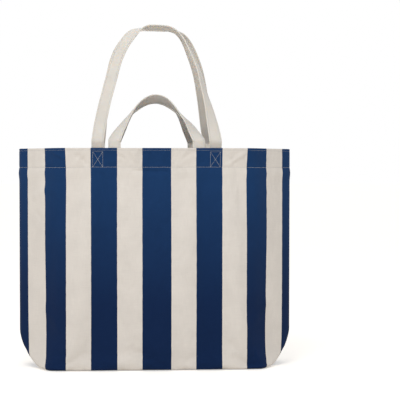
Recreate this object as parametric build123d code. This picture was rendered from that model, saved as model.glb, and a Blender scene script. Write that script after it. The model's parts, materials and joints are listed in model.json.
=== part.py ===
from build123d import *
import math
import os

# A large canvas tote bag, standing open on its boxed base. It is sewn from a front and a
# back panel, and has two long and two short carrying handles.
# Millimetres. The origin is the middle of the base, on the surface that it stands on.
# +Z is up, +X is the bag's right as seen from the front, and the front faces -Y.

# Body of the bag
RIM_HEIGHT = 446
WIDTH = 560
DEPTH = 190
CANVAS = 1.0
SPREAD_HEIGHT = 60        # the boxed corners reach the bag's full width at this height

# Plan of the bag, as rounds that the cloth is drawn tight round: (x, y, radius)
UPPER_CORNER = (166, 35, 60)
UPPER_SIDE = (255, 0, 25)
BASE_CORNER = (203, 75, 20)
BASE_SIDE = (200, 0, 25)

# Hem: the panel's top edge, turned in twice
HEM_DEPTH = 40
HEM_THICKNESS = 2.4

# Seams inside the bag: two edges of cloth, overlocked together
SEAM_WIDTH = 10
SEAM_THICKNESS = 1.6
SEAM_CLEARANCE = 0.2
BASE_SEAM_END = 215
CORNER_SEAM_PLACE = 216
CORNER_SEAM_LENGTH = 150

# Stitching, which stands just proud of the cloth
THREAD = 0.8
THREAD_PROUD = 0.4
LOWER_ROW_DROP = 38       # from the rim down to the lower row
UPPER_ROW_DROP = 4
BOX_STITCH_WIDTH = 20

# Handle straps, of canvas folded to four layers
STRAP_WIDTH = 25
STRAP_THICKNESS = 3.0
END_DROP = 38             # a strap's end reaches this far down inside the rim
END_RISE = 10             # and this far above it
HINGE_RISE = 15           # the loop turns about a line this far above the rim
TOUCH_GAP = 0.4           # from a leaning loop to the middle plane, where the pair meets
TURN_SHARE = 0.9          # how evenly the strap turns from flat at its root to edge-on
SECTIONS_PER_SIDE = 8

# Each pair of handles: half span of the strap's middle line at the rim, height of the
# loop along its own plane, and the power that gives its arch (2 is a parabola)
LONG = {"name": "long_handle", "half_span": 117.5, "loop": 248, "power": 3.1}
SHORT = {"name": "short_handle", "half_span": 84.5, "loop": 122, "power": 2.0}

FRONT_FACE = DEPTH / 2
HINGE_HEIGHT = RIM_HEIGHT + HINGE_RISE
TALL = 2 * RIM_HEIGHT     # longer than anything it is cut with


def plan(corner, side, grow=0.0):
    """The bag's outline from above: a tight band round four corner and two side rounds."""
    corner_x, corner_y, corner_radius = corner
    side_x, _, side_radius = side
    with BuildSketch() as sketch:
        with Locations(*[(x, y) for x in (-corner_x, corner_x) for y in (-corner_y, corner_y)]):
            Circle(corner_radius + grow)
        with Locations((-side_x, 0), (side_x, 0)):
            Circle(side_radius + grow)
        make_hull()
    return sketch.sketch


def upper_prism(low, high, grow=0.0):
    """A slice of the bag's full-width part, from one height to another."""
    return Pos(0, 0, low) * extrude(plan(UPPER_CORNER, UPPER_SIDE, grow), amount=high - low)


def filled_body(inset, floor, top):
    """The bag's body as a solid: boxed corners that spread out, then straight sides."""
    base = Pos(0, 0, floor) * plan(BASE_CORNER, BASE_SIDE, -inset)
    spread = Pos(0, 0, SPREAD_HEIGHT) * plan(UPPER_CORNER, UPPER_SIDE, -inset)
    return loft([base, spread], ruled=True) + upper_prism(SPREAD_HEIGHT, top, -inset)


def front_half(shape):
    return shape & Pos(0, -TALL / 2, 0) * Box(2 * TALL, TALL, 2 * TALL)


def front_panel():
    """Half of the bag's cloth: the front, half of each side, and half of the base."""
    hem_foot = RIM_HEIGHT - HEM_DEPTH
    room = filled_body(CANVAS, CANVAS, hem_foot)
    room += upper_prism(hem_foot, RIM_HEIGHT + HEM_DEPTH, -HEM_THICKNESS)
    return front_half(filled_body(0.0, 0.0, RIM_HEIGHT) - room)


def side_seam():
    """The overlocked edges down the inside of the right side, which follow the wall."""
    wall = WIDTH / 2 - CANVAS - SEAM_CLEARANCE
    foot = BASE_SIDE[0] + BASE_SIDE[2] - CANVAS
    lean = math.atan2(wall - foot, SPREAD_HEIGHT)
    across = SEAM_WIDTH / math.cos(lean)
    top = RIM_HEIGHT - HEM_DEPTH - SEAM_CLEARANCE
    low = 2 * SEAM_CLEARANCE + CANVAS
    outline = Polyline(
        (foot, low),
        (wall, SPREAD_HEIGHT),
        (wall, top),
        (wall - SEAM_WIDTH, top),
        (wall - SEAM_WIDTH, SPREAD_HEIGHT + SEAM_WIDTH * math.tan(lean / 2)),
        (foot - across + SEAM_WIDTH * math.tan(lean), low + SEAM_WIDTH),
        close=True,
    )
    return extrude(Plane.XZ * make_face(outline), amount=SEAM_THICKNESS / 2, both=True)


def base_seam():
    """The overlocked edges along the middle of the base, pressed to the back."""
    strip = Box(2 * BASE_SEAM_END, SEAM_WIDTH, SEAM_THICKNESS, align=(Align.CENTER, Align.MIN, Align.MIN))
    return Pos(0, SEAM_CLEARANCE, CANVAS) * strip


def corner_seam():
    """The short cross seam that boxes the right-hand corner of the base."""
    strip = Box(SEAM_THICKNESS, CORNER_SEAM_LENGTH, SEAM_WIDTH, align=(Align.MIN, Align.CENTER, Align.MIN))
    return Pos(CORNER_SEAM_PLACE, 0, CANVAS) * strip


def stitch_row(drop):
    """One row of stitching round the front half of the rim, on the outer face."""
    low = RIM_HEIGHT - drop - THREAD / 2
    return front_half(upper_prism(low, low + THREAD, THREAD_PROUD) - upper_prism(low, low + THREAD))


def box_stitch(centre_x):
    """The box with a cross in it that holds a long handle's end, on the front face."""
    high = LOWER_ROW_DROP - UPPER_ROW_DROP - 3 * THREAD
    wide = BOX_STITCH_WIDTH
    diagonal = math.hypot(wide, high) - THREAD
    slope = math.degrees(math.atan2(high, wide))
    frame = Rectangle(wide, high) - Rectangle(wide - 2 * THREAD, high - 2 * THREAD)
    cross = Rot(0, 0, slope) * Rectangle(diagonal, THREAD)
    cross += Rot(0, 0, -slope) * Rectangle(diagonal, THREAD)
    stitches = extrude(Plane.XZ * (frame + cross), amount=THREAD_PROUD)
    middle = RIM_HEIGHT - (LOWER_ROW_DROP + UPPER_ROW_DROP) / 2
    return Pos(centre_x, -FRONT_FACE, middle) * stitches


def strap_end(centre_x):
    """A strap's sewn end, flat against the inside of the front hem."""
    tall = END_DROP + END_RISE
    piece = Box(STRAP_WIDTH, STRAP_THICKNESS, tall, align=(Align.CENTER, Align.MIN, Align.MIN))
    inner_face = HEM_THICKNESS + SEAM_CLEARANCE / 2 - FRONT_FACE
    return Pos(centre_x, inner_face, RIM_HEIGHT - END_DROP) * piece


def lean_angle(handle):
    """How far a front loop leans back, in radians, for its crown to stop at the middle plane."""
    lean = 0.0
    for _ in range(20):
        edge = STRAP_WIDTH / 2 * math.cos(lean) + STRAP_THICKNESS / 2 * math.sin(lean)
        lean = math.asin((FRONT_FACE - TOUCH_GAP - edge) / handle["loop"])
    return lean


def strap_section(handle, share):
    """The strap's cross-section on a front loop. share runs from -1 at its left root to 1."""
    span, loop, power = handle["half_span"], handle["loop"], handle["power"]
    lean = lean_angle(handle)
    up = Vector(0, math.sin(lean), math.cos(lean))
    out = Vector(0, -math.cos(lean), math.sin(lean))
    side = Vector(1, 0, 0)
    reach = abs(share)
    middle = side * (span * share) + up * (loop * (1 - reach**power))
    slope = -math.copysign(loop * power * reach ** (power - 1), share)
    along = (side * span + up * slope).normalized()
    inward = side * along.dot(up) - up * along.dot(side)
    if reach == 1:
        along = up * -math.copysign(1, share)
        inward = side * -math.copysign(1, share)
    turn = math.pi / 2 * (1 - reach**2) ** TURN_SHARE
    across = inward * math.cos(turn) + out * math.sin(turn)
    face = along.cross(across).normalized() * (STRAP_THICKNESS / 2)
    half = across * (STRAP_WIDTH / 2)
    corners = [middle - half - face, middle + half - face, middle + half + face, middle - half + face]
    return Face(Wire.make_polygon(corners, close=True))


def strap_loop(handle):
    """A front handle's free loop, from one root to the other, leaning in over the mouth."""
    steps = range(-SECTIONS_PER_SIDE, SECTIONS_PER_SIDE + 1)
    shares = [math.sin(math.pi / 2 * step / SECTIONS_PER_SIDE) for step in steps]
    loop = loft([strap_section(handle, share) for share in shares], ruled=True)
    for centre_x in (-handle["half_span"], handle["half_span"]):
        loop += Pos(centre_x, 0, 0) * Rot(0, 90, 0) * Cylinder(STRAP_THICKNESS / 2, STRAP_WIDTH)
    return Pos(0, -FRONT_FACE, HINGE_HEIGHT) * loop


def to_back(shape):
    """The same piece on the back of the bag."""
    return mirror(shape, about=Plane.XZ)


def to_left(shape):
    """The same piece at the left end of the bag."""
    return mirror(shape, about=Plane.YZ)


def save(name, shape):
    export_step(shape, f"parts/{name}.step")


def save_front_and_back(name, shape):
    save(f"front_{name}", shape)
    save(f"back_{name}", to_back(shape))


os.makedirs("parts", exist_ok=True)

save_front_and_back("panel", front_panel())
save("base_seam", base_seam())
save("right_side_seam", side_seam())
save("left_side_seam", to_left(side_seam()))
save("right_corner_seam", corner_seam())
save("left_corner_seam", to_left(corner_seam()))
save_front_and_back("hem_lower_stitching", stitch_row(LOWER_ROW_DROP))
save_front_and_back("hem_upper_stitching", stitch_row(UPPER_ROW_DROP))

for hand, sign in (("left", -1), ("right", 1)):
    save_front_and_back(f"{hand}_box_stitching", box_stitch(sign * LONG["half_span"]))
    for handle in (LONG, SHORT):
        end = strap_end(sign * handle["half_span"])
        save_front_and_back(f"{handle['name']}_{hand}_end", end)

for handle in (LONG, SHORT):
    save_front_and_back(f"{handle['name']}_loop", strap_loop(handle))
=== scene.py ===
import json
import math

import bpy
import numpy as np
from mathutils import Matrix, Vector


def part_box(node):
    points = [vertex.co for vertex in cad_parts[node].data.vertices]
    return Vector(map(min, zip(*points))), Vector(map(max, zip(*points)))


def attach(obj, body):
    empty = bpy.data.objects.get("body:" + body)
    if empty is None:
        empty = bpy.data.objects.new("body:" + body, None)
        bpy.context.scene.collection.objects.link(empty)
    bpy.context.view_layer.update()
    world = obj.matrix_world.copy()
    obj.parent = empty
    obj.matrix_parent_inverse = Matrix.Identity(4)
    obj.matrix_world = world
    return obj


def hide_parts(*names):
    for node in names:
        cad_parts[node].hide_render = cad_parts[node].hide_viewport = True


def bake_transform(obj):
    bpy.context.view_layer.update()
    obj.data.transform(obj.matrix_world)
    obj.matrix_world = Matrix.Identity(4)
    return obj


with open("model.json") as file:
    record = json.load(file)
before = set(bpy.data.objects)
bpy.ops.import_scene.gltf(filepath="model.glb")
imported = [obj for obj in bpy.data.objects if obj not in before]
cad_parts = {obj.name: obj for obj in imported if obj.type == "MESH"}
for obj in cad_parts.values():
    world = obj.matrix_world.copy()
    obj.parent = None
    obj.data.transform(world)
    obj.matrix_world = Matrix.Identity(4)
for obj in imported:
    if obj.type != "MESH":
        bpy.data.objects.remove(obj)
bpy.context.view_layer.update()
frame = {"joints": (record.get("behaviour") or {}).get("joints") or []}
bpy.ops.object.select_all(action="DESELECT")


# ---- Panels ----
# The front and the back are each one piece of striped cotton canvas, cut to run down the wall,
# under the base and, at the top, over into a hem turned in twice. The bag has been stood up and
# filled out, so the cloth bows and creases a little between its hem, its seams and its base.

# All sizes are in metres, and the front faces -Y. On a panel, s is the distance along the cloth
# from the panel's middle and z is the height, so the side seams are at plus and minus seam_at.
rim_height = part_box("front_panel")[1].z
half_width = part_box("front_panel")[1].x
half_depth = -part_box("front_panel")[0].y
cloth = 0.0008
hem_depth = 0.038
upper_row_drop = 0.0045
layer_step = 0.00085      # from one layer of the hem to the next
hidden_turn = 0.030       # the second turn, out of sight between the hem's other layers

# A plan is drawn round four corners and two sides: (corner's centre), its radius, side's centre
corner_round = 0.060
side_round = 0.025
base_round = 0.020
base_inset = 0.003
rim_plan = ((0.166, half_depth - corner_round), corner_round, half_width - side_round)
base_plan = ((0.203, half_depth - base_inset - base_round), base_round, 0.200)
base_reach = base_plan[2] + side_round

# The base's boxed corners: their height, and how roundly they and the base's edge curve under
corner_height = 0.076
corner_power = 1.6
corner_softness = 0.0025
flare_power = 1.3
foot_round = 0.008


def plan_lengths(corner, radius, side_x):
    """Turn of a plan's corner round, the straight after it, and the girth to the side seam."""
    run = math.hypot(side_x - corner[0], corner[1])
    turn = math.atan2(corner[1], side_x - corner[0]) + math.asin((radius - side_round) / run)
    straight = math.sqrt(run**2 - (radius - side_round) ** 2)
    girth = corner[0] + radius * turn + straight + side_round * (math.pi / 2 - turn)
    return turn, straight, girth


def plan_line(s, corner, radius, side_x):
    """Points and outward directions along a plan, at distances s from the middle of the front."""
    turn, straight, _ = plan_lengths(corner, radius, side_x)
    past_flat = np.maximum(np.abs(s) - corner[0], 0)
    past_round = np.maximum(past_flat - radius * turn, 0)
    past_straight = np.maximum(past_round - straight, 0)
    first = np.minimum(past_flat / radius, turn)
    angle = first + past_straight / side_round
    along = np.minimum(past_round, straight)
    x = np.minimum(np.abs(s), corner[0]) + radius * np.sin(first) + along * math.cos(turn)
    y = -corner[1] - radius * np.cos(first) + along * math.sin(turn)
    x += side_round * (np.sin(angle) - np.sin(first))
    y += side_round * (np.cos(first) - np.cos(angle))
    sign = np.where(s < 0, -1, 1)
    return np.stack([x * sign, y], -1), np.stack([np.sin(angle) * sign, -np.cos(angle)], -1)


seam_at = plan_lengths(*rim_plan)[2]
base_girth = plan_lengths(*base_plan)[2]


def smooth_wall(s, z):
    """The front wall before it creases, as points and level outward directions."""
    top, top_out = plan_line(s, *rim_plan)
    foot, foot_out = plan_line(s * base_girth / seam_at, *base_plan)
    drop = np.clip(1 - z / corner_height, 0, 1)
    flare = (drop**flare_power)[..., None]
    out = top_out * (1 - flare) + foot_out * flare
    out /= np.linalg.norm(out, axis=-1, keepdims=True)
    under = np.clip(foot_round - z, 0, foot_round)
    inset = foot_round - np.sqrt(foot_round**2 - under**2)
    plan = top * (1 - flare) + foot * flare
    # The threads run straight down the front, as far as the rounded corner that cuts them off.
    corner = (1 - drop**corner_power) ** (1 / corner_power)
    reach = base_reach + (half_width - base_reach) * corner
    soft = corner_softness * np.clip(3 * drop, 0.004, 1)
    past = np.clip((np.abs(top[..., 0]) - reach) / soft, -30, 30)
    plan[..., 0] = np.sign(s) * (np.abs(top[..., 0]) - soft * np.log1p(np.exp(past)))
    plan -= out * inset[..., None]
    level = np.zeros_like(out[..., :1])
    return np.concatenate([plan, z[..., None]], -1), np.concatenate([out, level], -1)


# The wall settles as cloth, in one ring round the bag. The base holds its foot, the doubled hem
# is stiffer than the rest, and soft filling presses it out. Cloth is a little longer than the
# space it hangs in, so it buckles.
ring_cells = 224
wall_cells = 78
settle_steps = 30
settle_seed = 7
unevenness = 0.0005
fold_limit = 0.006
sideways_share = 0.4      # of the movement along the wall, which would bend the stripes
still_rim = 0.12          # rising and dropping die away over this stretch below the rim
still_seam = 0.19         # from here out to the side seam the folds die down
seam_hold = 0.75          # by this share of their height
foot_held = 0.004         # up to here the base holds the cloth fast
foot_eased = 0.025        # and up to here it holds it a little
strap_roots = (0.07, 0.135)    # the sewn straps stiffen the hem between these
grips = {"foot": 1.0, "above_foot": 0.2, "hem": 0.35, "hem_by_straps": 0.9}


def grid_faces(rows, columns, closed=False):
    """Quads over a grid of points, numbered row by row."""
    last = columns if closed else columns - 1
    faces = []
    for row in range(rows - 1):
        for column in range(last):
            after = (column + 1) % columns
            low, high = row * columns, (row + 1) * columns
            faces.append((low + column, low + after, high + after, high + column))
    return faces


def new_piece(name, points, faces):
    """A smooth mesh on an array of points, as an object in the scene."""
    mesh = bpy.data.meshes.new(name)
    mesh.from_pydata(points.reshape(-1, 3).tolist(), [], faces)
    mesh.polygons.foreach_set("use_smooth", [True] * len(faces))
    piece = bpy.data.objects.new(name, mesh)
    bpy.context.scene.collection.objects.link(piece)
    bpy.context.view_layer.objects.active = piece
    return piece


def settled_folds():
    """How far the ring of cloth moves as it settles, as an array of rows, columns and x, y, z."""
    share = np.arange(ring_cells) / ring_cells * 4 - 1
    behind = share > 1
    s = np.where(behind, 2 - share, share) * seam_at
    heights = np.linspace(0, rim_height, wall_cells + 1)
    s_grid, z_grid = np.meshgrid(s, heights)
    start, out = smooth_wall(s_grid, z_grid)
    start[:, behind, 1] *= -1
    out[:, behind, 1] *= -1
    uneven = np.random.default_rng(settle_seed).normal(0, unevenness, s_grid.shape)
    begun = start + out * uneven[..., None]
    ring = new_piece("settling", begun, grid_faces(wall_cells + 1, ring_cells, True))
    grip = np.where(z_grid < foot_eased, grips["above_foot"], 0.0)
    grip = np.where(z_grid < foot_held, grips["foot"], grip)
    by_strap = (np.abs(s_grid) > strap_roots[0]) & (np.abs(s_grid) < strap_roots[1])
    hem_grip = np.where(by_strap, grips["hem_by_straps"], grips["hem"])
    grip = np.where(z_grid > rim_height - hem_depth, hem_grip, grip)
    held = ring.vertex_groups.new(name="held")
    for strength in np.unique(grip[grip > 0]):
        members = np.flatnonzero(grip.ravel() == strength).tolist()
        held.add(members, float(strength), "REPLACE")
    settle = ring.modifiers.new("settle", "CLOTH")
    settle.point_cache.frame_end = settle_steps + 1
    made_of = settle.settings
    made_of.quality = 5
    made_of.mass = 0.15
    made_of.tension_stiffness = 60
    made_of.compression_stiffness = 60
    made_of.shear_stiffness = 20
    made_of.bending_stiffness = 4.0
    made_of.tension_damping = 15
    made_of.compression_damping = 15
    made_of.bending_damping = 5
    made_of.vertex_group_mass = "held"
    made_of.shrink_min = -0.010
    made_of.use_pressure = True
    made_of.uniform_pressure_force = 0.3
    for step in range(1, settle_steps + 1):
        bpy.context.scene.frame_set(step)
    seen = ring.evaluated_get(bpy.context.evaluated_depsgraph_get())
    settled = np.zeros(begun.size, np.float32)
    seen.data.vertices.foreach_get("co", settled)
    bpy.context.scene.frame_set(1)
    bpy.data.objects.remove(ring)
    moved = settled.reshape(begun.shape) - start
    moved[..., 0] *= sideways_share
    moved[..., 2] *= np.clip((rim_height - z_grid) / still_rim, 0, 1)
    toward_seam = np.clip((np.abs(s_grid) - still_seam) / (seam_at - still_seam), 0, 1)
    moved *= 1 - seam_hold * toward_seam[..., None]
    size = np.linalg.norm(moved, axis=-1, keepdims=True)
    return moved * np.tanh(size / fold_limit) * fold_limit / np.maximum(size, 1e-9)


folds = np.zeros((wall_cells + 1, ring_cells, 3))
folds = settled_folds()

# Creases that hands have pressed in: from (s, z) to (s, z), half breadth, and height of the ridge.
# A ridge is full over the middle of its length and fades at both ends.
crease_full = 0.3
crease_fade = 0.22
creases = {
    "front": [
        (-0.268, 0.348, -0.222, 0.368, 0.008, 0.0018),
        (-0.262, 0.322, -0.240, 0.300, 0.007, -0.0014),
        (-0.214, 0.440, -0.182, 0.424, 0.003, 0.0017),
        (-0.160, 0.434, -0.136, 0.411, 0.005, -0.0019),
        (-0.136, 0.402, -0.150, 0.345, 0.009, -0.0023),
        (-0.082, 0.437, -0.066, 0.424, 0.003, -0.0017),
        (-0.052, 0.440, -0.034, 0.416, 0.004, 0.0017),
        (-0.046, 0.401, 0.020, 0.399, 0.004, -0.0027),
        (0.052, 0.425, 0.076, 0.439, 0.004, -0.0015),
        (0.142, 0.412, 0.178, 0.436, 0.004, 0.0017),
        (0.150, 0.398, 0.168, 0.330, 0.010, -0.0023),
        (0.236, 0.362, 0.272, 0.340, 0.008, 0.0016),
        (0.190, 0.090, 0.252, 0.150, 0.010, 0.0013),
        (-0.190, 0.080, -0.250, 0.140, 0.010, 0.0013),
    ],
    "back": [
        (-0.255, 0.330, -0.215, 0.352, 0.008, 0.0029),
        (-0.150, 0.437, -0.130, 0.412, 0.004, -0.0017),
        (-0.030, 0.402, 0.040, 0.400, 0.004, -0.0025),
        (0.064, 0.438, 0.084, 0.420, 0.004, 0.0015),
        (0.140, 0.400, 0.160, 0.340, 0.010, -0.0023),
        (0.225, 0.345, 0.262, 0.372, 0.007, 0.0027),
        (0.205, 0.050, 0.258, 0.115, 0.009, 0.0027),
        (-0.205, 0.050, -0.262, 0.105, 0.009, 0.0027),
    ],
}


def smoothed(values, rounds):
    """Evens out a row of values in place, with its two ends kept."""
    for _ in range(rounds):
        values[1:-1] = (values[:-2] + 2 * values[1:-1] + values[2:]) / 4
    return values


# The wall draws in at the stitched line and bows out below it. Each knot is a drop from the rim
# and a height off the plan. The bow is full as far out as bow_start and gone at bow_end.
bow_knots = [(0, 0.0026), (0.020, -0.0010), (0.038, -0.0050), (0.048, -0.0046), (0.10, 0.0010),
             (0.16, 0.0050), (0.24, 0.0068), (0.32, 0.0050), (0.40, 0.0016), (0.46, 0.0)]
bow_start = 0.12
bow_end = 0.27
bow_drops = np.linspace(0, bow_knots[-1][0], 93)
bow_heights = smoothed(np.interp(bow_drops, *np.array(bow_knots).T), 14)

# The cloth swells below the hem, where it leaves the stitches, and dips under each row of them:
# drop from the rim, half breadth and height
level_bands = [
    (hem_depth + 0.012, 0.009, 0.0012),
    (hem_depth, 0.0016, -0.0006),
    (upper_row_drop, 0.0014, -0.0003),
]


def pressed(side, s, z):
    """Outward height of the creases, of the bow below the hem and of the bands by the stitching."""
    height = np.zeros(np.broadcast(s, z).shape)
    for s0, z0, s1, z1, breadth, ridge in creases[side]:
        length = math.hypot(s1 - s0, z1 - z0)
        along = ((s - s0) * (s1 - s0) + (z - z0) * (z1 - z0)) / length**2
        off = ((s - s0) * (z1 - z0) - (z - z0) * (s1 - s0)) / length
        past_full = np.maximum(np.abs(along - 0.5) - crease_full, 0)
        ends = np.exp(-((past_full / crease_fade) ** 2))
        height = height + ridge * ends * np.exp(-((off / breadth) ** 2))
    drop = rim_height - z
    middle = np.clip((bow_end - np.abs(s)) / (bow_end - bow_start), 0, 1)
    height = height + np.interp(drop, bow_drops, bow_heights) * middle**2 * (3 - 2 * middle)
    for place, breadth, swell in level_bands:
        height = height + swell * np.exp(-(((drop - place) / breadth) ** 2))
    return height


def wall(side, s, z, lift=0.0):
    """Points on one panel, at distance s from its middle, height z and lift off its face."""
    s, z = np.broadcast_arrays(np.asarray(s, float), np.asarray(z, float))
    points, out = smooth_wall(s, z)
    column = (s / seam_at + 1) * ring_cells / 4
    if side == "back":
        column = (3 - s / seam_at) * ring_cells / 4
        points = points * (1, -1, 1)
        out = out * (1, -1, 1)
    row = np.clip(z / rim_height, 0, 1) * wall_cells
    left = np.floor(column).astype(int)
    low = np.minimum(np.floor(row).astype(int), wall_cells - 1)
    across = (column - left)[..., None]
    up = (row - low)[..., None]
    right = (left + 1) % ring_cells
    left = left % ring_cells
    below = folds[low, left] * (1 - across) + folds[low, right] * across
    above = folds[low + 1, left] * (1 - across) + folds[low + 1, right] * across
    points = points + below * (1 - up) + above * up
    return points + out * (pressed(side, s, z) + lift)[..., None]


def map_threads(piece, grid, u, v):
    """Maps a piece in metres along its threads, from u and v at the points of its grid."""
    spread = piece.data.uv_layers.new(name="threads")
    corners = np.zeros(len(piece.data.loops), int)
    piece.data.loops.foreach_get("vertex_index", corners)
    flat = np.stack([np.broadcast_to(u, grid), np.broadcast_to(v, grid)], -1)
    spread.data.foreach_set("uv", flat.reshape(-1, 2)[corners].ravel())


def woven(name, points, u, v):
    """A sheet of canvas through rows of points, with a map in metres along its threads."""
    sheet = new_piece(name, points, grid_faces(*points.shape[:2]))
    map_threads(sheet, points.shape[:2], u, v)
    thicken = sheet.modifiers.new("thicken", "SOLIDIFY")
    thicken.thickness = cloth
    thicken.offset = 0
    bpy.ops.object.modifier_apply(modifier="thicken")
    return sheet


def lengths_along(points):
    """How far along a line of points each one lies."""
    steps = np.linalg.norm(np.diff(points, axis=0), axis=-1)
    return np.concatenate([[0], np.cumsum(steps)])


# A panel's edge tucks in at the side seam, so its columns close up there, each so far from the
# seam. Its rows close up round the foot, and from fine_drop below the rim.
edge_columns = np.array([0.0030, 0.0022, 0.0016, 0.0011, 0.0007, 0.0003, 0.0])
face_edge = 0.006
tuck_depth = 0.0022
fine_drop = 0.05
below_stitches = 0.001    # from the lower row of stitching to the hem's folded edge
ripple = 0.0005           # the base's cloth lies a little unevenly


def panel(side):
    """One panel, in rows from the base seam out to the foot, up the wall and over into the hem."""
    s = np.linspace(face_edge - seam_at, seam_at - face_edge, 205)
    s = np.sort(np.concatenate([edge_columns - seam_at, s, seam_at - edge_columns]))
    tuck = np.clip((np.abs(s) - seam_at + tuck_depth) / tuck_depth, 0, 1)
    tuck = tuck_depth * (1 - np.sqrt(1 - tuck**2))
    foot_rows = foot_round * (1 - np.cos(np.linspace(0, math.pi / 2, 7)))
    body_rows = np.linspace(foot_round, rim_height - fine_drop, 96)[1:]
    top = rim_height - layer_step - cloth / 2
    low = rim_height - hem_depth - below_stitches
    hem_rows = np.linspace(rim_height - fine_drop, top, 30)[1:]
    outer = np.concatenate([foot_rows, body_rows, hem_rows])
    turn = np.linspace(0, math.pi, 7)[1:-1]
    over_top = top + layer_step * np.sin(turn)
    inner = np.linspace(top, low, 12)
    under_low = low - layer_step / 2 * np.sin(turn)
    hidden = np.linspace(low, low + hidden_turn, 8)
    heights = [outer, over_top, inner, under_low, hidden]
    lifts = [0 * outer, layer_step * (np.cos(turn) - 1), 0 * inner - 2 * layer_step]
    lifts += [-2 * layer_step + layer_step / 2 * (1 - np.cos(turn)), 0 * hidden - layer_step]
    z = np.concatenate(heights)[:, None]
    lift = np.concatenate(lifts)[:, None] - cloth / 2 - tuck[None, :]
    standing = wall(side, s[None, :], z, lift)
    standing[..., 2] += cloth / 2 * np.clip(1 - z / foot_round, 0, 1)
    shares = np.linspace(0, 1, 18)[:-1, None]
    base = np.repeat(standing[:1], len(shares), axis=0)
    base[..., 1] *= shares
    waves = np.sin(base[..., 0] * 61 + 1) * np.sin(base[..., 1] * 83 + 2)
    base[..., 2] += (waves * ripple + ripple) * np.sin(shares * math.pi)
    points = np.concatenate([base, standing])
    v = lengths_along(points[:, len(s) // 2])
    sheet = woven(f"{side}_canvas", points, s[None, :], v[:, None])
    return sheet, (2 * seam_at, float(v[-1]))


def colour(code):
    """A colour for a shader, from its sRGB hex code."""
    parts = [int(code[place:place + 2], 16) / 255 for place in (0, 2, 4)]
    linear = [p / 12.92 if p <= 0.04045 else ((p + 0.055) / 1.055) ** 2.4 for p in parts]
    return (*linear, 1.0)


def add(tree, kind, links=None, **settings):
    """Adds a node with its settings; links gives its inputs, as values or as sockets."""
    node = tree.nodes.new(kind)
    for name, value in settings.items():
        setattr(node, name, value)
    for name, value in (links or {}).items():
        if isinstance(value, bpy.types.NodeSocket):
            tree.links.new(value, node.inputs[name])
        else:
            node.inputs[name].default_value = value
    return node


def new_material(name):
    """A new material, with its node tree and its shader."""
    material = bpy.data.materials.new(name)
    material.use_nodes = True
    shader = material.node_tree.nodes["Principled BSDF"]
    return material, material.node_tree, shader


# Stripes across the cloth, from the middle of a panel: the middle one is navy, and a little wider
stripe_repeat = 0.1028
navy_stripe = 0.0526
middle_stripe = 0.0578
stripe_stray = 0.0010
# A 12 ounce canvas has some 16 threads a centimetre. These are drawn at 1.1 mm so that they show.
thread_pitch = 0.0011


def weave_bump(tree, place):
    """Plain weave: threads over and under each other both ways, as a height from -1 to 1."""
    turns = 2 * math.pi / thread_pitch
    across = add(tree, "ShaderNodeMath", {0: place.outputs["X"], 1: turns}, operation="MULTIPLY")
    along = add(tree, "ShaderNodeMath", {0: place.outputs["Y"], 1: turns}, operation="MULTIPLY")
    warp = add(tree, "ShaderNodeMath", {0: across.outputs[0]}, operation="SINE")
    weft = add(tree, "ShaderNodeMath", {0: along.outputs[0]}, operation="SINE")
    return add(tree, "ShaderNodeMath", {0: warp.outputs[0], 1: weft.outputs[0]}, operation="MULTIPLY")


def slubs(tree, vector, stretch, scale):
    """Thick and thin places in the yarn, drawn out along it."""
    drawn = add(tree, "ShaderNodeMapping", {"Vector": vector, "Scale": stretch})
    return add(tree, "ShaderNodeTexNoise", {"Vector": drawn.outputs[0], "Scale": scale, "Detail": 3.0})


def cotton(tree, shader, vector, tint, bump_strength):
    """Finishes a cotton cloth: uneven yarn in its colour, weave and slubs in its bump, and fuzz."""
    place = add(tree, "ShaderNodeSeparateXYZ", {"Vector": vector})
    weave = weave_bump(tree, place)
    warp_slubs = slubs(tree, vector, (900.0, 45.0, 1.0), 1.0)
    weft_slubs = slubs(tree, vector, (40.0, 800.0, 1.0), 1.0)
    slub_pair = {0: warp_slubs.outputs["Fac"], 1: weft_slubs.outputs["Fac"]}
    yarn = add(tree, "ShaderNodeMath", slub_pair, operation="ADD")
    blotches = add(tree, "ShaderNodeTexNoise", {"Vector": vector, "Scale": 22.0, "Detail": 4.0})
    yarn_range = {"From Min": 0.7, "From Max": 1.3, "To Min": 0.97, "To Max": 1.03}
    lightness = add(tree, "ShaderNodeMapRange", {"Value": yarn.outputs[0], **yarn_range})
    wash_range = {"From Min": 0.3, "From Max": 0.7, "To Min": 0.965, "To Max": 1.035}
    washed = add(tree, "ShaderNodeMapRange", {"Value": blotches.outputs["Fac"], **wash_range})
    uneven = {0: lightness.outputs[0], 1: washed.outputs[0]}
    both = add(tree, "ShaderNodeMath", uneven, operation="MULTIPLY")
    shade = add(tree, "ShaderNodeVectorMath", {0: tint, 1: both.outputs[0]}, operation="MULTIPLY")
    tree.links.new(shade.outputs[0], shader.inputs["Base Color"])
    heights = {0: yarn.outputs[0], 1: 0.8, 2: weave.outputs[0]}
    relief = add(tree, "ShaderNodeMath", heights, operation="MULTIPLY_ADD")
    bump_size = {"Strength": bump_strength, "Distance": 0.0004}
    bump = add(tree, "ShaderNodeBump", {"Height": relief.outputs[0], **bump_size})
    tree.links.new(bump.outputs[0], shader.inputs["Normal"])
    shader.inputs["Roughness"].default_value = 0.88
    shader.inputs["IOR"].default_value = 1.5
    shader.inputs["Specular IOR Level"].default_value = 0.12
    shader.inputs["Sheen Weight"].default_value = 0.03
    shader.inputs["Sheen Roughness"].default_value = 0.5


# Cotton canvas, yarn-dyed in navy and natural: matt, with a plain weave, slubs and slight fuzz.
striped_canvas, tree, shader = new_material("striped_cotton_canvas")
threads = add(tree, "ShaderNodeUVMap", uv_map="threads")
place = add(tree, "ShaderNodeSeparateXYZ", {"Vector": threads.outputs[0]})
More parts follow.
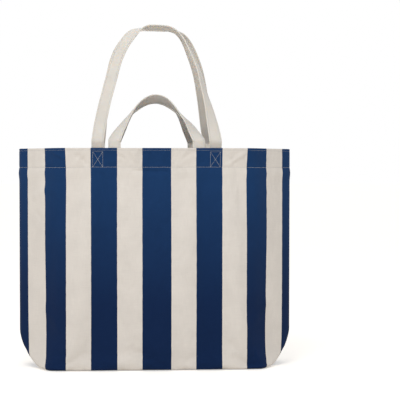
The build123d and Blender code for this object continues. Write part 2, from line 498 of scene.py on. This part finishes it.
# A stripe's edge strays by about half a thread to either side.
waver = add(tree, "ShaderNodeTexNoise", {"Vector": threads.outputs[0], "Scale": 60.0, "Detail": 2.0})
stray = {0: waver.outputs["Fac"], 1: stripe_stray, 2: place.outputs["X"]}
strayed = add(tree, "ShaderNodeMath", stray, operation="MULTIPLY_ADD")
centring = {0: strayed.outputs[0], 1: stripe_stray / 2}
centred = add(tree, "ShaderNodeMath", centring, operation="SUBTRACT")
off_middle = add(tree, "ShaderNodeMath", {0: centred.outputs[0]}, operation="ABSOLUTE")
past_first = {0: off_middle.outputs[0], 1: navy_stripe - middle_stripe / 2}
shifted = add(tree, "ShaderNodeMath", past_first, operation="ADD")
repeated = add(tree, "ShaderNodeMath", {0: shifted.outputs[0], 1: stripe_repeat}, operation="MODULO")
in_navy = add(tree, "ShaderNodeMath", {0: repeated.outputs[0], 1: navy_stripe}, operation="LESS_THAN")
# Painted light: the navy is painted paler up the wall and darker by the base, a gradient that stands in
# for the light falling from above.
navy_painted_light_range = {"From Min": 0.22, "From Max": 0.48}
navy_painted_light = add(tree, "ShaderNodeMapRange", {"Value": place.outputs["Y"], **navy_painted_light_range})
# Two copies of the navy, a painted shaded one by the base and a painted lit one up the wall.
navy_shaded_and_lit = {0: navy_painted_light.outputs[0], 6: colour("0d254b"), 7: colour("183964")}
navy = add(tree, "ShaderNodeMix", navy_shaded_and_lit, data_type="RGBA")
stripe_tints = {0: in_navy.outputs[0], 6: colour("dfd9d2"), 7: navy.outputs[2]}
dyed = add(tree, "ShaderNodeMix", stripe_tints, data_type="RGBA")
cotton(tree, shader, threads.outputs[0], dyed.outputs[2], 0.16)

for side in ("front", "back"):
    sheet, flat = panel(side)
    sheet.data.materials.append(striped_canvas)
    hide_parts(f"{side}_panel")
    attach(sheet, "bag")


# ---- Hem stitching ----
# Lockstitch in thick natural cotton thread: one row holds the hem's lower edge, another runs
# close under the rim. Each stitch bows up between the two holes that pull it into the cloth.

stitch_length = 0.0034
thread_radius = 0.00026
upper_row_fineness = 0.55
stitch_overlap = 1.04     # a stitch's length over the gap between its holes, so that it sinks in
middle_rise = 0.9         # of the thread's radius, at the middle of a stitch
end_drop = 1.9            # from there down to its ends
seam_clearance = 0.004    # the rows stop this far short of the side seams

bpy.ops.mesh.primitive_uv_sphere_add(segments=6, ring_count=6, radius=1.0, rotation=(0, math.pi / 2, 0))
stitch = bpy.context.object
bpy.ops.object.transform_apply(rotation=True)
one_stitch = np.array([v.co for v in stitch.data.vertices])
one_stitch_faces = [tuple(p.vertices) for p in stitch.data.polygons]
bpy.data.objects.remove(stitch)

# Cotton sewing thread: soft, pale and matt, with the slant of its plies.
thread, tree, shader = new_material("cotton_sewing_thread")
spot = add(tree, "ShaderNodeTexCoord")
slant = {"Vector": spot.outputs["Object"], "Scale": 900.0, "Distortion": 1.0}
plies = add(tree, "ShaderNodeTexWave", slant, bands_direction="DIAGONAL")
thread_tints = {0: plies.outputs["Fac"], 6: colour("aeb0b4"), 7: colour("c9c8c6")}
plied = add(tree, "ShaderNodeMix", thread_tints, data_type="RGBA")
tree.links.new(plied.outputs[2], shader.inputs["Base Color"])
ply_bump = {"Height": plies.outputs["Fac"], "Strength": 0.4, "Distance": 0.0001}
twist = add(tree, "ShaderNodeBump", ply_bump)
tree.links.new(twist.outputs[0], shader.inputs["Normal"])
shader.inputs["Roughness"].default_value = 0.75
shader.inputs["Sheen Weight"].default_value = 0.2


def sew(name, starts, ends, outs, radius=thread_radius):
    """One stitch copied from each start to each end, bowed along the outward direction. All three
    are lists of arrays of points."""
    starts, ends, outs = (np.concatenate(rows) for rows in (starts, ends, outs))
    along = ends - starts
    lengths = np.linalg.norm(along, axis=-1, keepdims=True)
    along = along / lengths
    outs = outs - (outs * along).sum(-1, keepdims=True) * along
    outs /= np.linalg.norm(outs, axis=-1, keepdims=True)
    across = np.cross(outs, along)
    shape = one_stitch[None, :, :]
    half = lengths[:, None, :] * stitch_overlap / 2
    bow = radius * (middle_rise - end_drop * shape[..., 0] ** 2)
    points = (starts + ends)[:, None, :] / 2 + along[:, None, :] * shape[..., :1] * half
    points = points + across[:, None, :] * shape[..., 1:2] * radius
    points = points + outs[:, None, :] * (shape[..., 2:] * radius + bow[..., None])
    faces = []
    for first in range(0, len(starts) * len(one_stitch), len(one_stitch)):
        faces += [tuple(first + corner for corner in face) for face in one_stitch_faces]
    piece = new_piece(name, points, faces)
    piece.data.materials.append(thread)
    return piece


def outward(side, s, z):
    """The outward direction of a panel's face."""
    step = 0.001
    along = wall(side, np.asarray(s) + step, z) - wall(side, np.asarray(s) - step, z)
    up = wall(side, s, np.asarray(z) + step) - wall(side, s, np.asarray(z) - step)
    out = np.cross(along, up) * (1 if side == "front" else -1)
    return out / np.linalg.norm(out, axis=-1, keepdims=True)


def sew_through(name, side, begin, finish, inside, radius=thread_radius):
    """Stitches through a panel, which show on its outer face and on the innermost layer. begin
    and finish are the (s, z) of their holes, and inside is that layer's lift off the face."""
    starts = []
    ends = []
    outs = []
    for lift, facing in ((0.0, 1), (inside, -1)):
        starts.append(wall(side, *begin, lift))
        ends.append(wall(side, *finish, lift))
        outs.append(outward(side, *begin) * facing)
    return sew(name, starts, ends, outs, radius)


# The lower row leaves room for the box stitching that holds the long handles.
box_half = 0.010
long_span = -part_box("front_left_box_stitching")[0].x - box_half
inside_hem = -2 * layer_step - cloth
stitch_rows = {"lower": (hem_depth, 1.0), "upper": (upper_row_drop, upper_row_fineness)}
for side in ("front", "back"):
    for row, (drop, fineness) in stitch_rows.items():
        z = rim_height - drop
        s = np.arange(seam_clearance - seam_at, seam_at - seam_clearance, stitch_length)
        if row == "lower":
            s = s[np.abs(np.abs(s + stitch_length / 2) - long_span) > box_half]
        holes = (s, z), (s + stitch_length, z)
        seam = sew_through(f"{side}_{row}_stitches", side, *holes, inside_hem, thread_radius * fineness)
        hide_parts(f"{side}_hem_{row}_stitching")
        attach(seam, "bag")


# ---- Seams inside ----
# The panels are sewn together face to face and their edges overlocked: down both ends, along
# the middle of the base, and across the two corners that box the base.

edge_width = 0.0095
layer_offset = 0.62       # of the cloth's thickness, from the seam's middle to each layer's
edge_curl = 0.0004
loop_step = 0.0026
loop_slant = 0.0022
loop_depth = 0.005
loop_proud = 1.25         # of the cloth's thickness, from the seam's middle
loop_radius = 0.00028


def read_along(rows, lengths, places):
    """Rows that belong to a line's points, read at other places along it."""
    return np.stack([np.interp(places, lengths, rows[:, axis]) for axis in range(3)], -1)


def overlocked(name, root, edge, face, node):
    """A seam's two cloth edges, standing from root to edge, and the thread looped over them.
    root and edge are matching rows of points, and face is the direction across the layers."""
    root, edge, face = (np.asarray(a, float) for a in (root, edge, face))
    length = lengths_along(root)
    width = float(np.linalg.norm(edge[0] - root[0]))
    shares = np.linspace(0, 1, 6)[:, None, None]
    curl = np.sin(length * 190)[None, :, None] * shares**2 * edge_curl
    layers = []
    for number, offset in enumerate((-1, 1)):
        points = root[None] * (1 - shares) + edge[None] * shares
        points = points + face * (offset * cloth * layer_offset + curl)
        layer = woven(f"{name}_layer_{number}", points, shares[..., 0] * width, length[None, :])
        layer.data.materials.append(striped_canvas)
        layers.append(layer)
    bpy.ops.object.select_all(action="DESELECT")
    for layer in layers:
        layer.select_set(True)
    bpy.context.view_layer.objects.active = layers[0]
    bpy.ops.object.join()
    layers[0].name = name
    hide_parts(node)
    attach(layers[0], "bag")
    steps = np.arange(0.001, length[-1] - 0.002, loop_step)
    tip = read_along(edge, length, steps)
    inward = (read_along(root, length, steps) - tip) / width
    proud = face * cloth * loop_proud
    near = tip + proud
    far = tip - proud
    slanted = read_along(edge, length, steps + loop_slant) + inward * loop_depth
    starts = [near, slanted - proud, far]
    ends = [slanted + proud, far, near]
    outs = [face + 0 * tip, -face + 0 * tip, -inward]
    loops = sew(f"{name}_thread", starts, ends, outs, loop_radius)
    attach(loops, "bag")


# The side seams stand in from the wall, and stop short of the base and of the hem. The corner
# seams and the base seam lie on the base, and the corner seams lean in a little.
side_foot = 0.012
side_top = rim_height - hem_depth - 0.004
side_clear = 0.0024
corner_clear = 0.0015
corner_floor = 0.0012
corner_lean = 0.002
corner_reach = 0.073
base_half = 0.211
base_floor = 0.0022
base_clear = 0.0004
base_rise = 0.0006
for hand, sign in (("left", -1), ("right", 1)):
    heights = np.linspace(side_foot, side_top, 60)
    root = wall("front", sign * seam_at, heights, -side_clear)
    root[:, 1] = 0
    edge = root - np.array([sign * edge_width, 0, 0])
    overlocked(f"{hand}_side_edges", root, edge, (0, 1, 0), f"{hand}_side_seam")
    x = sign * (abs(wall("front", seam_at, 0.0)[0]) - corner_clear)
    root = np.array([(x, y, corner_floor) for y in np.linspace(-corner_reach, corner_reach, 40)])
    edge = root + np.array([-sign * corner_lean, 0, edge_width])
    overlocked(f"{hand}_corner_edges", root, edge, (1, 0, 0), f"{hand}_corner_seam")
root = np.array([(x, base_clear, base_floor) for x in np.linspace(-base_half, base_half, 80)])
edge = root + np.array([0, edge_width, base_rise])
overlocked("base_edges", root, edge, (0, 0, 1), "base_seam")


# ---- Handles ----
# Each handle is one strap of natural canvas, folded to four layers and stitched down both edges.
# Its ends are sewn flat inside the hem. It stands up by its own stiffness, leans in over the
# mouth against its partner, and twists from flat at its ends to edge-on at its crown.

strap_half = 0.0125       # half its width
strap_thick = 0.0014      # half its thickness
edge_row = 0.0093         # from its middle to the stitching down each edge
row_sink = 0.72           # of strap_thick: the stitches lie in their channels
sewn_depth = 0.037
strap_lift = inside_hem - strap_thick - 0.0002
hinge = frame["joints"][0]["pos_m"]
arch_power = {"front_long": 3.1, "back_long": 4.2, "front_short": 2.0, "back_short": 2.0}
root_step = {"long": -0.0060, "short": 0.0015}
slack_sway = 0.003        # the back long strap leans this far to one side
wave_start = 0.06         # along the strap from its end
wave_rise = 0.03          # to the full height of its waves
face_wave = 0.0007
edge_wave = 0.0009
puff_share = 0.10         # how unevenly thick the folded layers are
bend_stretch = 0.075      # at each end, with finer rows for the bend over the rim
fine_step = 0.0011
plain_step = 0.0028
root_span = {"long": long_span, "short": -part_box("front_short_handle_left_end")[0].x - strap_half}


def arch(kind):
    """Height of a strap's arch along its own plane, and how far that plane leans in."""
    low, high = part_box(f"front_{kind}_handle_loop")
    rise = high.z - hinge[2]
    reach = high.y + half_depth
    lean = 0.3
    for _ in range(30):
        height = (rise - strap_half * math.sin(lean)) / math.cos(lean)
        lean = math.asin((reach - strap_half * math.cos(lean)) / height)
    return height - strap_thick, lean


# How far a long strap is turned from flat towards edge-on, in degrees, at shares of its span.
# Seen from outside, it stays flat longer on its left. A short strap turns evenly.
short_turn_power = 0.9
long_turns = {
    "front": [(-1, 0), (-0.9, 14), (-0.42, 18), (-0.16, 90), (0.25, 90), (0.60, 72), (0.88, 58),
              (1, 0)],
    "back": [(-1, 0), (-0.9, 18), (-0.7, 26), (-0.45, 58), (-0.20, 88), (0.25, 90), (0.60, 70),
             (0.88, 56), (1, 0)],
}


def turn_of(side, kind, share):
    """How far a strap is turned onto its edge, in radians. share runs from -1 at one root to 1."""
    if kind == "short":
        return math.pi / 2 * np.clip(1 - share**2, 0, 1) ** short_turn_power
    places = np.linspace(-1, 1, 201)
    turned = smoothed(np.interp(places, *np.array(long_turns[side]).T), 30)
    return np.radians(np.interp(share, places, turned))


def strap_line(side, kind):
    """Middle points and directions across a strap, from one sewn end to the other, for a front
    strap. A back strap is a front strap turned half round, so its points are turned after."""
    flip = 1 if side == "front" else -1
    span, power = root_span[kind], arch_power[f"{side}_{kind}"]
    height, lean = arch(kind)
    up = np.array([0, math.sin(lean), math.cos(lean)])
    out = np.array([0, -math.cos(lean), math.sin(lean)])
    level = np.array([1.0, 0, 0])
    share = np.sin(np.linspace(-math.pi / 2, math.pi / 2, 1601))
    reach = np.abs(share)
    middle = np.outer(share * span, level) + np.outer(height * (1 - reach**power), up)
    slope = -np.sign(share) * height * power * reach ** (power - 1)
    along = np.outer(np.full_like(share, span), level) + np.outer(slope, up)
    along /= np.linalg.norm(along, axis=-1, keepdims=True)
    inward = np.outer(along @ up, level) - np.outer(along @ level, up)
    turn = turn_of(side, kind, share)[:, None]
    across = inward * np.cos(turn) + out * np.sin(turn)
    middle += np.array([0, hinge[1] + root_step[kind], hinge[2]])
    if side == "back" and kind == "long":
        middle[:, 0] += slack_sway * (1 - reach**6)
    ends = []
    for sign in (-1, 1):
        z = np.linspace(rim_height - sewn_depth, rim_height - 0.001, 40)
        sewn = wall(side, sign * span * flip, z, strap_lift) * (flip, flip, 1)
        free = np.linspace(0, 1, 22)[1:-1, None]
        ease = free * free * (3 - 2 * free)
        root = middle[0 if sign < 0 else -1]
        rising = sewn[-1] * (1 - ease) + root * ease
        rising[:, 2] = sewn[-1, 2] + (root[2] - sewn[-1, 2]) * free[:, 0]
        ends.append(np.concatenate([sewn, rising]))
    flat_across = np.repeat(level[None], len(ends[0]), axis=0)
    points = np.concatenate([ends[0], middle, ends[1][::-1]])
    across = np.concatenate([flat_across, across, -flat_across])
    length = lengths_along(points)
    fine = np.arange(0.0, bend_stretch, fine_step)
    plain = np.arange(bend_stretch, length[-1] - bend_stretch, plain_step)
    stations = np.concatenate([fine, plain, length[-1] - fine[::-1]])
    points = smoothed(read_along(points, length, stations), 6)
    across = smoothed(read_along(across, length, stations), 6)
    along = np.gradient(points, stations, axis=0)
    along /= np.linalg.norm(along, axis=-1, keepdims=True)
    across -= (across * along).sum(-1, keepdims=True) * along
    across /= np.linalg.norm(across, axis=-1, keepdims=True)
    face = np.cross(along, across)
    # The free part of a strap is a little wavy, and the back straps differ from the front ones.
    from_end = np.minimum(stations, stations[-1] - stations)
    free_part = np.clip((from_end - wave_start) / wave_rise, 0, 1)[:, None]
    shift = {"front": 1.0, "back": 2.3}[side]
    points += face * free_part * (np.sin(stations * 71 + shift) * face_wave)[:, None]
    points += across * free_part * (np.sin(stations * 33 + 2 * shift) * edge_wave)[:, None]
    turned = np.array([flip, flip, 1.0])
    return points * turned, across * turned, face * turned, stations


# A quarter of the strap's section, from a folded edge to the middle, in shares of its half width
# and half thickness: the edges are round, and the stitching draws the layers into a channel.
quarter_section = [(1.0, 0.0), (0.985, 0.55), (0.945, 0.85), (0.86, 1.0), (0.785, 0.95), (0.744, 0.72),
                   (0.70, 0.95), (0.60, 1.06), (0.38, 1.1), (0.13, 1.1)]


def strap(side, kind):
    """A strap's mesh: its section carried along its line, with its ends closed."""
    points, across, face, stations = strap_line(side, kind)
    upper = quarter_section + [(-a, b) for a, b in quarter_section[::-1]]
    ring = upper[:-1] + [(-a, -b) for a, b in upper[:-1]]
    ring = np.array(ring) * (strap_half, strap_thick)
    puffs = 1 + puff_share * np.sin(stations * 260 + np.sin(stations * 97) * 2)[:, None, None]
    thickness = face[:, None, :] * ring[None, :, 1:] * puffs
    shape = points[:, None, :] + across[:, None, :] * ring[None, :, :1] + thickness
    rows, columns = shape.shape[:2]
    faces = grid_faces(rows, columns, True)
    faces.append(tuple(range(columns))[::-1])
    faces.append(tuple((rows - 1) * columns + i for i in range(columns)))
    piece = new_piece(f"{side}_{kind}_strap", shape, faces)
    upper_side = ring[None, :, 1] > 0
    map_threads(piece, (rows, columns), ring[None, :, 0] + upper_side * 0.05, stations[:, None])
    bpy.ops.object.select_all(action="DESELECT")
    piece.select_set(True)
    bpy.ops.object.mode_set(mode="EDIT")
    bpy.ops.mesh.select_all(action="SELECT")
    bpy.ops.mesh.normals_make_consistent(inside=False)
    bpy.ops.object.mode_set(mode="OBJECT")
    starts = []
    ends = []
    outs = []
    seam_steps = np.arange(0.002, stations[-1] - 0.005, stitch_length)
    for row in (-edge_row, edge_row):
        for facing in (-1, 1):
            line = points + across * row + face * (facing * strap_thick * row_sink)
            starts.append(read_along(line, stations, seam_steps))
            ends.append(read_along(line, stations, seam_steps + stitch_length))
            outs.append(read_along(face * facing, stations, seam_steps))
    stitches = sew(f"{side}_{kind}_strap_stitches", starts, ends, outs)
    return piece, stitches, float(stations[-1])


# Natural cotton canvas, undyed: warm off-white, matt, with the same plain weave as the panels.
natural_canvas, tree, shader = new_material("natural_cotton_canvas_strap")
threads = add(tree, "ShaderNodeUVMap", uv_map="threads")
undyed = add(tree, "ShaderNodeRGB")
undyed.outputs[0].default_value = colour("d8d4cd")
cotton(tree, shader, threads.outputs[0], undyed.outputs[0], 0.05)
# A little light passes through undyed cotton, and comes out warmer.
shader.inputs["Subsurface Weight"].default_value = 0.5
shader.inputs["Subsurface Radius"].default_value = (1.0, 0.8, 0.6)
shader.inputs["Subsurface Scale"].default_value = 0.004

for side in ("front", "back"):
    for kind in ("long", "short"):
        piece, stitches, length = strap(side, kind)
        piece.data.materials.append(natural_canvas)
        body = f"{side}_{kind}_handle"
        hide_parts(f"{body}_loop", f"{body}_left_end", f"{body}_right_end")
        for part in (piece, stitches):
            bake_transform(part)


# ---- Box stitching ----
# Each end of a long handle is held by a box of stitches with a cross in it, sewn through the
# strap and both turns of the hem, in the same natural thread. It shows outside and inside.

box_top = rim_height - 0.0075
box_low = rim_height - hem_depth
box_sink = 1.08           # of strap_thick: the stitches inside lie on the strap's inner face


def box_path(centre):
    """Where the stitches of one box start and end, as (s, z)."""
    corners = [(-box_half, box_low), (box_half, box_low), (box_half, box_top), (-box_half, box_top)]
    order = [0, 1, 2, 3, 0, 2, 3, 1]
    starts = []
    ends = []
    for first, last in zip(order[:-1], order[1:]):
        a, b = np.array(corners[first]), np.array(corners[last])
        count = max(1, round(float(np.linalg.norm(b - a)) / stitch_length))
        marks = np.linspace(0, 1, count + 1)[:, None]
        line = a + (b - a) * marks + np.array([centre, 0])
        starts.append(line[:-1])
        ends.append(line[1:])
    return np.concatenate(starts), np.concatenate(ends)


for side in ("front", "back"):
    for hand, sign in (("left", -1), ("right", 1)):
        begin, finish = box_path(sign * long_span)
        inside = strap_lift - strap_thick * box_sink
        box = sew_through(f"{side}_{hand}_box_stitches", side, begin.T, finish.T, inside)
        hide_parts(f"{side}_{hand}_box_stitching")
        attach(box, "bag")


# ---- Room ----
# A white studio: a pale floor that runs into a white surround, a large soft light above and in
# front, a little to the left, and a larger, weaker one low down in front that fills the shade.

bpy.ops.mesh.primitive_plane_add(size=120, location=(0, 0, -0.0006))
floor = bpy.context.object
floor.name = "studio_floor"
# Studio paint: matt and nearly white. Its glow is for the view alone and lights nothing.
painted, tree, shader = new_material("white_lit_floor")
shader.inputs["Base Color"].default_value = colour("f8f3ec")
shader.inputs["Roughness"].default_value = 0.9
shader.inputs["Specular IOR Level"].default_value = 0.1
seen = add(tree, "ShaderNodeLightPath")
lit = add(tree, "ShaderNodeMath", {0: seen.outputs["Is Camera Ray"], 1: 0.40}, operation="MULTIPLY")
tree.links.new(lit.outputs[0], shader.inputs["Emission Strength"])
shader.inputs["Emission Color"].default_value = (1, 1, 1, 1)
floor.data.materials.append(painted)

world = bpy.data.worlds.new("studio")
bpy.context.scene.world = world
world.use_nodes = True
tree = world.node_tree
surround = tree.nodes["Background"]
sight = add(tree, "ShaderNodeLightPath")
brightness = {"To Min": 0.70, "To Max": 1.0}
level = add(tree, "ShaderNodeMapRange", {"Value": sight.outputs["Is Camera Ray"], **brightness})
tree.links.new(level.outputs[0], surround.inputs["Strength"])
surround.inputs["Color"].default_value = (1, 1, 1, 1)


def soft_light(name, place, aim, size, power):
    """A square studio light that faces a point."""
    lamp = bpy.data.lights.new(name, "AREA")
    lamp.size = size
    lamp.energy = power
    shining = bpy.data.objects.new(name, lamp)
    bpy.context.scene.collection.objects.link(shining)
    shining.location = place
    shining.rotation_mode = "QUATERNION"
    shining.rotation_quaternion = (Vector(aim) - Vector(place)).to_track_quat("-Z", "Y")


soft_light("key", (-0.35, -1.15, 1.75), (0, 0, 0.35), 0.8, 10)
soft_light("fill", (-0.5, -2.6, 0.35), (0, 0, 0.45), 1.2, 4.5)

# The camera stands in front, swung a little to the left. It looks to the right of the bag, so
# that the bag stands left of the middle, and down by a small tilt.
stand_off = 2.5
eye_height = 0.39
swing = math.radians(1.75)
aim_off = math.radians(1.98)
tilt = math.radians(1.1)
camera = bpy.data.objects.new("camera", bpy.data.cameras.new("camera"))
bpy.context.scene.collection.objects.link(camera)
camera.data.lens = 112.5
camera.data.sensor_width = 36
in_front = half_depth + stand_off * math.cos(swing)
camera.location = (-stand_off * math.sin(swing), -in_front, eye_height)
gaze = Vector((math.sin(swing + aim_off), math.cos(swing + aim_off), -math.tan(tilt)))
camera.rotation_mode = "QUATERNION"
camera.rotation_quaternion = gaze.to_track_quat("-Z", "Y")
bpy.context.scene.camera = camera
bpy.context.scene.view_settings.view_transform = "Standard"
